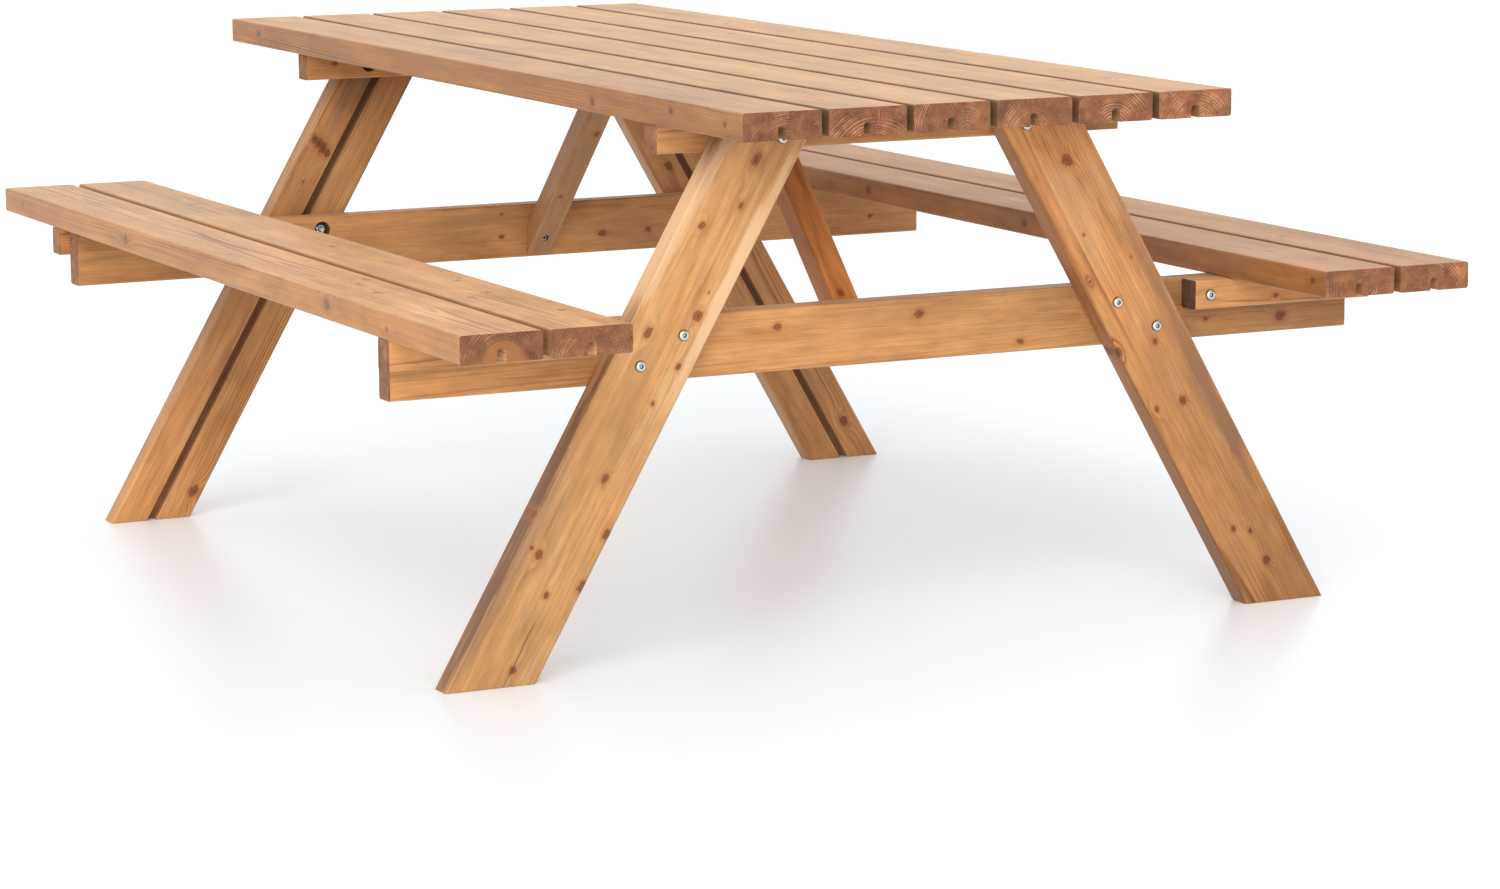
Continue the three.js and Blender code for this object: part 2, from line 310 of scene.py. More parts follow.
@dataclass
class Look:
    """How one timber was cut from its log, and what shows on it. Places are along, across, in mm."""

    seed: int
    pith: tuple = (0, -60)  # the log's centre, across and through, from the middle of the section
    drift: tuple = (0.0, 0.0)  # how far the pith wanders across and through, per metre along
    ring: float = 3.2  # ring width
    lines: float = 0.85  # contrast of the ring lines
    tint: float = 1.0  # brightness
    fade: float = 0.0  # share of the brightness that is gained per metre along
    warmth: float = 0.0  # above 0 is redder, below 0 is greener
    soak: float = 1.0  # brightness of the sawn ends
    # The narrow faces' brightness is partly soaked stain and partly painted shade.
    sides: tuple = (1.0, 1.0)  # brightness of the narrow faces, at -across and at +across
    # The groove's darkness is partly pooled stain and partly painted shade.
    groove: float = 0.25  # how dark the stain has pooled in the groove
    heart: float = 0.0  # radius of the orange heartwood that shows in the ends, in mm
    knots: list = field(default_factory=list)  # (along, across, radius), and through for a side knot
    checks: list = field(default_factory=list)  # (along from, along to, across)
    # Stained patches, and on the near left leg also patches of painted shade and painted highlight.
    stains: list = field(default_factory=list)  # (along, across, half length, half width, strength, name)


def knot_fields(grain, knots):
    """Distance from the nearest knot in knot radii, and how far the rings swell out round the knots."""
    leaning = grain.vector("MULTIPLY", (1, 1, 0.12))
    nearest, swell = None, None
    for along, across, size, *depth in knots:
        base = grain if depth else leaning
        reach = size * MM
        offset = base.vector("SUBTRACT", (along * MM, across * MM, depth[0] * MM if depth else 0))
        squeeze = (0.78 / reach, 1 / reach, (1 if depth else 0.4) / reach)
        distance = offset.stretched(*squeeze).vector("LENGTH", output="Value")
        spread = offset.stretched(0.3 / reach, 0.62 / reach, 0.62 / reach if depth else 0)
        push = (spread.vector("DOT_PRODUCT", spread, output="Value") * -1.0).maths("EXPONENT")
        push = push * (reach * 1.2)
        nearest = distance if nearest is None else nearest.maths("MINIMUM", distance)
        swell = push if swell is None else swell + push
    return nearest, swell


def ring_fields(grain, look, seed, swell):
    """0 in earlywood and 1 in each year's latewood, and the way round the pith and out from it."""
    along, across, through = grain.parts()
    slow = grain.streaks(1.1, 5, seed, 2.0, 0.5)
    slower = grain.streaks(0.6, 3, seed + 3, 1.0, 0.5)
    a = across - look.pith[0] * MM - along * (look.drift[0] * MM) + slower * 0.020
    b = through - look.pith[1] * MM - along * (look.drift[1] * MM) + slow * 0.024
    wobble = grain.streaks(3, 30, seed + 5, 2.0, 0.5) * 0.0022
    tremble = grain.streaks(16, 130, seed + 6, 2.0, 0.5) * 0.0010
    radius = (a * a + b * b).maths("SQRT") + wobble + tremble
    if swell is not None:
        radius = radius + swell
    rings = radius / (look.ring * MM)
    rings = rings + (rings * 0.35).line_noise() * 1.6
    year = rings.maths("FRACT")
    late = year.above(0.35, 0.90) * year.above(1.0, 0.94)
    which = rings.maths("FLOOR")
    strength = which.node("ShaderNodeTexWhiteNoise", {"W": which}, "Value", noise_dimensions="1D")
    return late * (strength * 0.65 + 0.35), a.maths("ARCTAN2", b), radius


def end_colour(tree, grain, look, seed, late, angle, radius):
    """Sawn ends soak up more stain, most of all round their rim, and show the rings as pale arcs."""
    _, across, through = grain.parts()
    clear = grain.streaks(15, 32, seed + 34).above(-0.04, 0.18)
    arcs = late.above(0.06, 0.55) * (clear * 0.62 + 0.08)
    end = constant(tree, END_WOOD).mixed(arcs, END_ARC)
    patch = grain.streaks(8, 34, seed + 33).above(0.08, 0.24)
    end = end.mixed(patch * 0.45, END_PATCH)
    soak = grain.streaks(25, 50, seed + 31, 4.0, 0.65)
    dust = grain.streaks(60, 700, seed + 35, 3.0, 0.7)
    end = end.scaled((soak * 2.6 + dust * 1.2 + 1.13).maths("MAXIMUM", 0.35))
    split = (angle * 26.0 + seed).line_noise()
    broken = grain.streaks(20, 60, seed + 45, 2.0).above(-0.02, 0.12)
    if look.heart:
        inner = (soak * (20 * MM) + radius).above(look.heart * MM, look.heart * 0.7 * MM)
        orange = constant(tree, END_PATCH).mixed(late.above(0.1, 0.6) * 0.35, PALE_WOOD)
        orange = orange.mixed(split.above(0.60, 0.63) * 0.8, END_ARC)
        end = end.mixed(inner * 0.6, orange)
    end = end.mixed(split.above(0.70, 0.73) * broken * 0.30, PALE_WOOD)
    end = end.mixed(split.above(0.31, 0.285) * broken * 0.5, DARK_LINE)
    rim = across.maths("ABSOLUTE") * 18.0 + through.maths("ABSOLUTE") * 12.0
    rim = rim + grain.streaks(60, 60, seed + 29, 2.0) * 0.9
    end = end.mixed(rim.above(0.85, 1.5) * 0.5, STAIN_AND_PAINTED_LIGHT_COLOURS["grey"])
    return end.scaled(look.soak)


def spot(grain, along, across, half_length, half_width, seed):
    """1 in the middle of a ragged oval patch, going to 0 at its edge."""
    offset = grain.vector("SUBTRACT", (along * MM, across * MM, 0))
    offset = offset.stretched(1 / (half_length * MM), 1 / (half_width * MM), 0)
    ragged = grain.streaks(12, 90, seed) * 1.6
    return (offset.vector("LENGTH", output="Value") + ragged).above(1.15, 0.45)


@dataclass
class Surface:
    """A timber's colour, roughness and height so far, and how its fibres curl."""

    colour: Field
    roughness: Field
    height: Field
    curl: Field


def clear_wood(tree, grain, look, seed, late):
    """Wood without knots: rings, slow changes of colour, streaks, fibres, dark flecks, and stains, with a
    few patches of painted shade and painted highlight.
    """
    fibre = grain.streaks(16, 820, seed + 9, 2.0)
    streak = grain.streaks(7, 150, seed + 11)
    curl = grain.streaks(22, 75, seed + 19)
    fleck = grain.streaks(45, 1000, seed + 13, 1.0, 0.5).above(0.17, 0.25)
    blotch = grain.streaks(6, 19, seed + 17)
    hue = grain.streaks(4.5, 26, seed + 21)
    smear = grain.streaks(3, 30, seed + 23).above(0.08, 0.30)
    bold = grain.streaks(1.3, 24, seed + 41, 2.0, 0.5).above(-0.12, 0.16)

    colour = constant(tree, EARLYWOOD).mixed(hue.above(0.02, 0.24) * 0.75, RED_WOOD)
    colour = colour.mixed(hue.above(-0.02, -0.24) * 0.7, PALE_WOOD)
    colour = colour.mixed(late * (bold * 0.8 + 0.2) * look.lines, LATEWOOD)
    colour = colour.mixed(smear * 0.38, STAIN_AND_PAINTED_LIGHT_COLOURS["grey"])
    colour = colour.mixed(fleck * 0.30, DARK_LINE)
    colour = colour.scaled(fibre * 0.50 + streak * 0.62 + blotch * 0.80 + curl * 0.60 + 1.0)
    # Stains, and a few patches of painted shade and painted highlight.
    for i, (place, off, half_length, half_width, strength, name) in enumerate(look.stains):
        patch = spot(grain, place, off, half_length, half_width, seed + 50 + i)
        colour = colour.mixed(patch * strength, STAIN_AND_PAINTED_LIGHT_COLOURS[name])

    roughness = fibre * 0.35 + late * -0.06 + curl * 0.20 + 0.46
    height = late * 0.5 + fibre * 0.6 + streak * 0.5 - fleck * 0.4
    return Surface(colour, roughness, height, curl)


def edge_wear_and_painted_light(surface, timber, look, across, through):
    """The long corners are rubbed paler, unevenly, partly wear and partly a painted highlight, and the
    groove is darker, partly pooled stain and partly painted shade.
    """
    corner = (across.maths("ABSOLUTE") - (timber.width / 2 - EDGE_RADIUS)).maths(
        "MINIMUM", through.maths("ABSOLUTE") - (THICKNESS / 2 - EDGE_RADIUS)
    )
    rubbed_and_highlit = corner.above(0.4 * MM, 1.9 * MM) * surface.curl.above(-0.2, 0.15)
    surface.colour = surface.colour.mixed(rubbed_and_highlit * 0.30, PALE_WOOD)
    if timber.grooved:
        wall = GROOVE_WIDTH / 2
        inside = across.maths("ABSOLUTE").above(wall + 0.6 * MM, wall + 0.1 * MM)
        pooled_and_shaded = inside * through.above(0.5 * MM, 0.0)
        surface.colour = surface.colour.mixed(pooled_and_shaded * look.groove, STAIN_AND_PAINTED_LIGHT_COLOURS["dark"])


def add_knots(tree, surface, grain, nearest, seed):
    """Dark ragged knots, each in a reddish halo and partly outlined."""
    rough = grain.streaks(130, 260, seed + 37, 3.0, 0.7)
    ragged = nearest + rough * 1.9
    core = ragged.above(1.25, 0.55)
    edge = ragged.above(0.50, 0.85) * ragged.above(1.25, 0.90)
    halo = ragged.above(2.7, 0.9)
    layers = (ragged * 22.0).maths("SINE") * 0.12 + surface.curl * 0.8 + 1.0
    heart = constant(tree, KNOT_CORE).scaled(layers)
    heart = heart.mixed(ragged.above(0.70, 0.0) * 0.75, KNOT_RIM)
    colour = surface.colour.mixed(halo * 0.55, KNOT_HALO).mixed(core * 0.88, heart)
    surface.colour = colour.mixed(edge * surface.curl.above(-0.22, 0.12) * 0.6, KNOT_RIM)
    surface.roughness = surface.roughness - core * 0.10
    surface.height = surface.height + core * 0.5 - edge * 0.7


def add_checks(surface, grain, checks, seed):
    """Fine drying cracks along the grain."""
    along, across, _ = grain.parts()
    for start, stop, place in checks:
        wander = grain.streaks(14, 0, seed + place, 2.0) * 0.006
        off = (across - place * MM + wander).maths("ABSOLUTE")
        line = off.above(0.9 * MM, 0.25 * MM) * along.above(start * MM, (start + 15) * MM)
        line = line * along.above(stop * MM, (stop - 15) * MM)
        surface.colour = surface.colour.mixed(line * 0.8, DARK_LINE)
        surface.height = surface.height - line * 2.0


def darken_sides(colour, timber, look, across):
    """The narrow faces are darker, partly for soaked stain and partly as painted shade in the gaps
    between planks and under the parts above them.
    """
    for side, brightness in zip((-1, 1), look.sides):
        if brightness < 1.0:
            edge_on = (across * side).above(timber.width / 2 - EDGE_RADIUS, timber.width / 2 - 0.5 * MM)
            soaked_and_shaded = colour.vector("MULTIPLY", tuple(brightness * share for share in SIDE_SOAK_AND_SHADE))
            colour = colour.mixed(edge_on, soaked_and_shaded)
    return colour


def wood(timber, look):
    """The wood of one timber: growth rings about a wandering pith, fibres, knots, stain and sawn ends."""
    material, tree, shader = new_material(f"wood_{timber.node}")
    grain = attribute(tree, "grain", "Vector")
    along, across, through = grain.parts()
    seed = look.seed * SEED_STEP
    nearest, swell = knot_fields(grain, look.knots)
    late, angle, radius = ring_fields(grain, look, seed, swell)

    surface = clear_wood(tree, grain, look, seed, late)
    edge_wear_and_painted_light(surface, timber, look, across, through)
    if nearest is not None:
        add_knots(tree, surface, grain, nearest, seed)
    add_checks(surface, grain, look.checks, seed)
    colour = darken_sides(surface.colour, timber, look, across)
    colour = colour.scaled(along * (look.fade * look.tint) + look.tint)
    warm = look.warmth
    colour = colour.vector("MULTIPLY", (1 + 0.5 * warm, 1 - 0.35 * warm, 1 - warm))

    ends = end_colour(tree, grain, look, seed, late, angle, radius)
    sawn = attribute(tree, "sawn")
    colour = colour.mixed(sawn, ends)
    # Holes, counterbores and the dents round the heads: stain soaked into their end grain, and painted
    # shade.
    colour = colour.mixed(attribute(tree, "bore_stain_and_shade") * 0.9, DARK_LINE)
    feed(tree, shader, "Base Color", colour)
    feed(tree, shader, "Roughness", surface.roughness + sawn * 0.35)
    shader.inputs["Specular IOR Level"].default_value = WOOD_SPECULAR
    shader.inputs["Sheen Weight"].default_value = WOOD_SHEEN
    shader.inputs["Sheen Roughness"].default_value = WOOD_SHEEN_ROUGHNESS
    shader.inputs["Sheen Tint"].default_value = WOOD_SHEEN_TINT
    bump(tree, shader, surface.height, 0.25 * MM, 0.5)
    return material


# ---------------------------------------------------------------- timber meshes

@dataclass
class Timber:
    """One straight timber: its axes, the middle of its section, and the planes that cut its ends."""

    node: str
    along: Vector
    through: Vector
    middle: Vector
    width: float
    first_cut: tuple  # (point, normal)
    last_cut: tuple
    grooved: bool = False

    @property
    def across(self):
        return self.through.cross(self.along)

    def to_world(self, v, w, cut, back=0.0):
        """The point of the section at (v, w) where its fibre meets a cut plane, moved along by back."""
        base = self.middle + self.across * v + self.through * w
        point, normal = cut
        return base + self.along * ((point - base).dot(normal) / self.along.dot(normal) + back)


def section(width, grooved):
    """The outline of a section, anticlockwise, as (across, through) points."""
    half_width, half, r = width / 2, THICKNESS / 2, EDGE_RADIUS

    def arc(cx, cy, radius, start, steps, sweep=90):
        angles = [math.radians(start + sweep * i / steps) for i in range(steps + 1)]
        return [(cx + radius * math.cos(t), cy + radius * math.sin(t)) for t in angles]

    outline = []
    if grooved:
        side, g = GROOVE_WIDTH / 2, GROOVE_RADIUS
        floor = -half + GROOVE_DEPTH - g
        soft = 0.6 * MM
        outline += [(-side - soft, -half), (-side, -half + soft)]
        outline += arc(-side + g, floor, g, 180, 4, -90)
        outline += arc(side - g, floor, g, 90, 4, -90)
        outline += [(side, -half + soft), (side + soft, -half)]
    outline += arc(half_width - r, -half + r, r, -90, CORNER_STEPS)
    outline += arc(half_width - r, half - r, r, 0, CORNER_STEPS)
    outline += arc(-half_width + r, half - r, r, 90, CORNER_STEPS)
    outline += arc(-half_width + r, -half + r, r, 180, CORNER_STEPS)
    return outline


def inset(outline, distance):
    """The outline moved inwards by distance."""
    moved = []
    for i in range(len(outline)):
        before, here, after = (Vector(outline[j % len(outline)]) for j in (i - 1, i, i + 1))
        edge = (here - before).normalized() + (after - here).normalized()
        inward = Vector((-edge.y, edge.x)).normalized()
        moved.append(tuple(here + inward * distance))
    return moved


def sweep(timber):
    """The timber's surface: rings of its section from one cut to the other, and the two sawn faces."""
    outline = section(timber.width, timber.grooved)
    small = inset(outline, ARRIS)
    mesh = bmesh.new()

    def ring(points):
        return [mesh.verts.new(p) for p in points]

    length = (timber.to_world(0, 0, timber.last_cut) - timber.to_world(0, 0, timber.first_cut)).length
    stations = max(2, round(length / STATION_PITCH))
    rings = [ring([timber.to_world(v, w, timber.first_cut) for v, w in small])]
    for i in range(stations + 1):
        share = i / stations
        row = []
        for v, w in outline:
            start = timber.to_world(v, w, timber.first_cut, ARRIS)
            stop = timber.to_world(v, w, timber.last_cut, -ARRIS)
            row.append(start.lerp(stop, share))
        rings.append(ring(row))
    rings.append(ring([timber.to_world(v, w, timber.last_cut) for v, w in small]))

    count = len(outline)
    for low, high in zip(rings, rings[1:]):
        for i in range(count):
            j = (i + 1) % count
            mesh.faces.new((low[i], low[j], high[j], high[i]))
    mesh.faces.new(list(reversed(rings[0])))
    mesh.faces.new(rings[-1])
    bmesh.ops.recalc_face_normals(mesh, faces=mesh.faces)

    # Planed wood is never quite flat. The waves only go inwards, so that neighbours stay clear.
    mesh.normal_update()
    for vertex in mesh.verts:
        wave = noise.noise(vertex.co * 9.0) + 0.5 * noise.noise(vertex.co * 27.0)
        vertex.co -= vertex.normal * abs(wave) * WAVINESS
    return mesh


def to_object(name, mesh_data):
    mesh = bpy.data.meshes.new(name)
    mesh_data.to_mesh(mesh)
    mesh_data.free()
    made = bpy.data.objects.new(name, mesh)
    bpy.context.scene.collection.objects.link(made)
    return made


def joined(meshes):
    made = bmesh.new()
    for part in meshes:
        mesh = bpy.data.meshes.new("part")
        part.to_mesh(mesh)
        part.free()
        made.from_mesh(mesh)
        bpy.data.meshes.remove(mesh)
    return made


def cut_away(piece, cutters):
    """Cuts the closed cutters out of the piece, and marks the faces that they leave, so that the wood
    shader can darken them for soaked stain and painted shade.
    """
    planed, drilled = (bpy.data.materials.new(name) for name in ("planed", "drilled"))
    piece.data.materials.append(planed)
    if cutters:
        tool = to_object("cutter", joined(cutters))
        tool.data.materials.append(drilled)
        modifier = piece.modifiers.new("cut", "BOOLEAN")
        modifier.operation = "DIFFERENCE"
        modifier.solver = "EXACT"
        modifier.material_mode = "TRANSFER"
        modifier.object = tool
        bpy.context.view_layer.update()
        graph = bpy.context.evaluated_depsgraph_get()
        result = bpy.data.meshes.new_from_object(piece.evaluated_get(graph), depsgraph=graph)
        piece.modifiers.clear()
        old = piece.data
        piece.data = result
        result.name = piece.name
        bpy.data.meshes.remove(old)
        bpy.data.objects.remove(tool)
    mesh = piece.data
    bore_stain_and_shade = mesh.attributes.new("bore_stain_and_shade", "FLOAT", "FACE")
    for face, value in zip(mesh.polygons, bore_stain_and_shade.data):
        value.value = float(mesh.materials[face.material_index] == drilled)
        face.material_index = 0
    mesh.materials.clear()
    for material in (planed, drilled):
        bpy.data.materials.remove(material)


def smooth(piece):
    piece.data.shade_smooth()
    piece.data.set_sharp_from_angle(angle=SMOOTH_ANGLE)
    modifier = piece.modifiers.new("flat faces stay flat", "WEIGHTED_NORMAL")
    modifier.keep_sharp = True


def mark_grain(piece, timber):
    """Gives each vertex its place in the timber's axes, and each face how squarely it cuts the grain."""
    mesh = piece.data
    start = timber.to_world(0, 0, timber.first_cut)
    stop = timber.to_world(0, 0, timber.last_cut)
    origin = (start + stop) / 2
    axes = Matrix((timber.along, timber.across, timber.through))
    grain = mesh.attributes.new("grain", "FLOAT_VECTOR", "POINT")
    for vertex, value in zip(mesh.vertices, grain.data):
        value.vector = axes @ (vertex.co - origin)
    sawn = mesh.attributes.new("sawn", "FLOAT", "FACE")
    for face, value in zip(mesh.polygons, sawn.data):
        squareness = abs(face.normal.dot(timber.along))
        value.value = min(1.0, max(0.0, (squareness - 0.3) / 0.3))


def finish_piece(piece, material, slot, *nodes):
    """Gives a made piece its material and its place in the table, and hides the nodes it stands for."""
    piece.data.materials.append(material)
    smooth(piece)
    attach(piece, "root")
    if nodes:
        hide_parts(*nodes)


def make_timber(timber, cutters=()):
    piece = to_object(timber.node, sweep(timber))
    cut_away(piece, cutters)
    mark_grain(piece, timber)
    finish_piece(piece, wood(timber, look_of(timber.node)), "timber", timber.node)


# ---------------------------------------------------------------- fasteners

def hexagon(radius_to_flat, angle):
    """Distance from the middle of a hexagon to its outline, at an angle."""
    from_flat = (angle + math.pi / 6) % (math.pi / 3) - math.pi / 6
    return radius_to_flat / math.cos(from_flat)


def full_ring(height, radius, flat=None, grime_and_shade=0.0):
    """A ring of a turned part: flat is half its width across flats, where it is a hexagon, and the last
    value darkens the zinc there, for soiling and painted shade.
    """
    return height, radius, flat, grime_and_shade


def turned(profile, sides=48, closed=False):
    """A turned part along +Z, from the arguments of full_ring for each of its rings."""
    mesh = bmesh.new()
    grime_and_shade_layer = mesh.verts.layers.float.new("grime_and_shade")
    rings = []
    for ring in profile:
        height, radius, flat, grime_and_shade = full_ring(*ring)
        row = []
        for i in range(sides):
            angle = 2 * math.pi * i / sides
            r = radius if flat is None else min(radius, hexagon(flat, angle))
            vertex = mesh.verts.new((r * math.cos(angle), r * math.sin(angle), height))
            vertex[grime_and_shade_layer] = grime_and_shade
            row.append(vertex)
        rings.append(row)
    pairs = list(zip(rings, rings[1:]))
    if closed:
        pairs.append((rings[-1], rings[0]))
    for low, high in pairs:
        for i in range(sides):
            j = (i + 1) % sides
            mesh.faces.new((low[i], low[j], high[j], high[i]))
    if not closed:
        mesh.faces.new(list(reversed(rings[0])))
        mesh.faces.new(rings[-1])
    bmesh.ops.recalc_face_normals(mesh, faces=mesh.faces)
    return mesh


def button_bolt(length):
    """An M8 button-head bolt along -Z, its head on the wood at 0 and pulled in by the dent's depth."""
    r, shank = HEAD_DIAMETER / 2, BOLT_DIAMETER / 2
    rim, crown = 1.3 * MM, 3.7 * MM
    # The last value of each ring darkens the zinc: painted shade round the rim where the head meets the
    # wood and in the socket, with a little soiling.
    dome = []
    for i in range(9):
        angle = math.pi / 2 * i / 8
        bulge = math.sin(angle) ** 0.9
        height = rim + (HEAD_HEIGHT - rim) * bulge
        dome.append((height, crown + (r - crown) * math.cos(angle), None, 0.5 * (1 - i / 8) ** 4))
    flat = SOCKET_ACROSS_FLATS / 2
    floor = HEAD_HEIGHT - SOCKET_DEPTH
    head = [(-DENT_DEPTH, r - 0.3 * MM, None, 1.0), (0.2 * MM, r, None, 0.7), *dome]
    head += [(HEAD_HEIGHT, flat + 0.75 * MM), (HEAD_HEIGHT - 0.35 * MM, 1, flat, 0.9)]
    head += [(floor, 1, flat, 1.0), (floor - 0.3 * MM, 1.2 * MM, None, 0.3)]
    head += [(floor - 0.9 * MM, 0.3 * MM, None, 0.3)]
    start = -length + 0.9 * MM  # of the thread, above the tapered tip
    steps = round(THREAD_LENGTH / THREAD_PITCH * 6)
    thread = [(-length, shank - 1.2 * MM), (start, shank - THREAD_DEPTH)]
    thread += [(start + THREAD_LENGTH * (i + 1) / steps, shank) for i in range(steps)]
    mesh = turned([*thread, (-DENT_DEPTH, shank), *head])
    slack = 0.05 * MM
    for vertex in mesh.verts:
        x, y, z = vertex.co
        on_thread = start + slack < z < start + THREAD_LENGTH - slack
        if on_thread and math.hypot(x, y) > shank - slack:
            turn = (z / THREAD_PITCH - math.atan2(y, x) / (2 * math.pi)) % 1.0
            scale = 1 - THREAD_DEPTH * abs(2 * turn - 1) / shank
            vertex.co.x *= scale
            vertex.co.y *= scale
    return mesh


def hexagon_nut():
    """An M8 nut from 0 to NUT_HEIGHT along +Z, chamfered at both ends."""
    flat, hole = NUT_ACROSS_FLATS / 2, BOLT_DIAMETER / 2 + 0.15 * MM
    corner, chamfer = flat * 1.17, 0.55 * MM
    # The last values darken the zinc at the bearing face and in the hole: painted shade, with a little
    # soiling.
    return turned(
        [
            (0, flat - 0.2 * MM, flat, 0.6),
            (chamfer, corner, flat, 0.5),
            (NUT_HEIGHT - chamfer, corner, flat),
            (NUT_HEIGHT, flat - 0.2 * MM, flat),
            (NUT_HEIGHT, hole + 0.6 * MM, None, 0.3),
            (NUT_HEIGHT - 0.6 * MM, hole, None, 0.9),
            (0.6 * MM, hole, None, 0.9),
            (0, hole + 0.6 * MM, None, 0.9),
        ],
        closed=True,
    )


def wood_screw(length):
    """A countersunk screw along -Z, with the top of its head at 0 and a star recess."""
    r, shaft = SCREW_HEAD_DIAMETER / 2, 1.9 * MM
    # The last values darken the zinc under the head and in the recess: painted shade, with a little
    # soiling.
    mesh = turned(
        [
            (-length, 0.1 * MM),
            (-length + 6 * MM, shaft),
            (-3.2 * MM, shaft),
            (-0.5 * MM, r, None, 0.8),
            (-0.05 * MM, r, None, 0.5),
            (0, r - 0.15 * MM),
            (0, 2.4 * MM),
            (-0.15 * MM, 2.2 * MM, None, 0.6),
            (-2.0 * MM, 2.0 * MM, None, 1.0),
            (-2.3 * MM, 0.4 * MM, None, 0.8),
        ],
        sides=36,
    )
    for vertex in mesh.verts:
        x, y, z = vertex.co
        radius = math.hypot(x, y)
        if -2.1 * MM < z < -0.1 * MM and 1.95 * MM < radius < 2.3 * MM:
            lobe = 0.84 + 0.16 * math.cos(6 * math.atan2(y, x))
            vertex.co.x *= lobe
            vertex.co.y *= lobe
    return mesh


def placed(mesh, point, direction, spin=0.0):
    """The part moved so that its 0 is at the point and its +Z lies along the direction."""
    turn = Z.rotation_difference(direction).to_matrix().to_4x4()
    mesh.transform(Matrix.Translation(point) @ turn @ Matrix.Rotation(spin, 4, "Z"))
    return mesh


BRIGHT_ZINC = (0.60, 0.61, 0.62)
YELLOWED_ZINC = (0.40, 0.38, 0.34)
DULL_ZINC = (0.42, 0.42, 0.40)
# The dark of soiling and of painted shade in crevices and round rims.
GRIME_AND_SHADE = (0.05, 0.044, 0.038)


def zinc(name, colour, roughness):
    """Zinc plate: faint spangle, fine scratches, dull spots, and a dark coat in its crevices and round
    its rims, partly soiling and partly painted shade.
    """
    material, tree, shader = new_material(name)
    place = tree.nodes.new("ShaderNodeTexCoord")
    at = Field(tree, place.outputs["Object"])
    patches = at.noise(420.0, 3.0, 0.6, 2.0)
    scratches = at.stretched(6000.0, 900.0, 900.0).noise(1.0, 2.0, 0.6, 4.0)
    grains = at.noise(2600.0, 2.0, 0.6, 7.0)
    # Soiling and painted shade: dark in crevices, round rims and in dull spots.
    grime_and_shade = (attribute(tree, "grime_and_shade") + patches * 0.5).above(0.12, 0.85)
    shade = constant(tree, colour).scaled(patches * 0.35 + scratches * 0.12 + 1.0)
    shade = shade.mixed(patches.above(0.12, 0.30) * 0.35, DULL_ZINC).mixed(grime_and_shade * 0.9, GRIME_AND_SHADE)
    feed(tree, shader, "Base Color", shade)
    feed(tree, shader, "Roughness", patches * 0.30 + grains * 0.15 + grime_and_shade * 0.3 + roughness)
    shader.inputs["Metallic"].default_value = 1.0
    bump(tree, shader, scratches * 0.5 + grains * 0.5, 0.03 * MM, 0.5)
    return material


# ---------------------------------------------------------------- looks of the timbers

def drawn_look(seed, **settings):
    """A look with seeded chance values, apart from those given."""
    draw = random.Random(seed)
    chance = {
        "pith": (draw.uniform(-18, 18), draw.uniform(-40, -8)),
        "drift": (draw.uniform(-9, 9), draw.uniform(-9, 9)),
        "ring": draw.uniform(2.6, 3.6),
        "tint": draw.uniform(0.94, 1.04),
        "warmth": draw.uniform(-0.03, 0.04),
        "knots": [
            (draw.uniform(-850, 850), draw.uniform(-46, 46), draw.uniform(2, 5)) for _ in range(6)
        ],
    }
    return Look(seed=seed, **{**chance, **settings})


def top_look(seed, **settings):
    """The look of a tabletop plank: plain faces, and darker narrow ones, partly soaked stain and partly
    painted shade in the gaps between planks.
    """
    return drawn_look(seed, **{"sides": (0.28, 0.28), "lines": 0.7, "groove": 0.6, **settings})


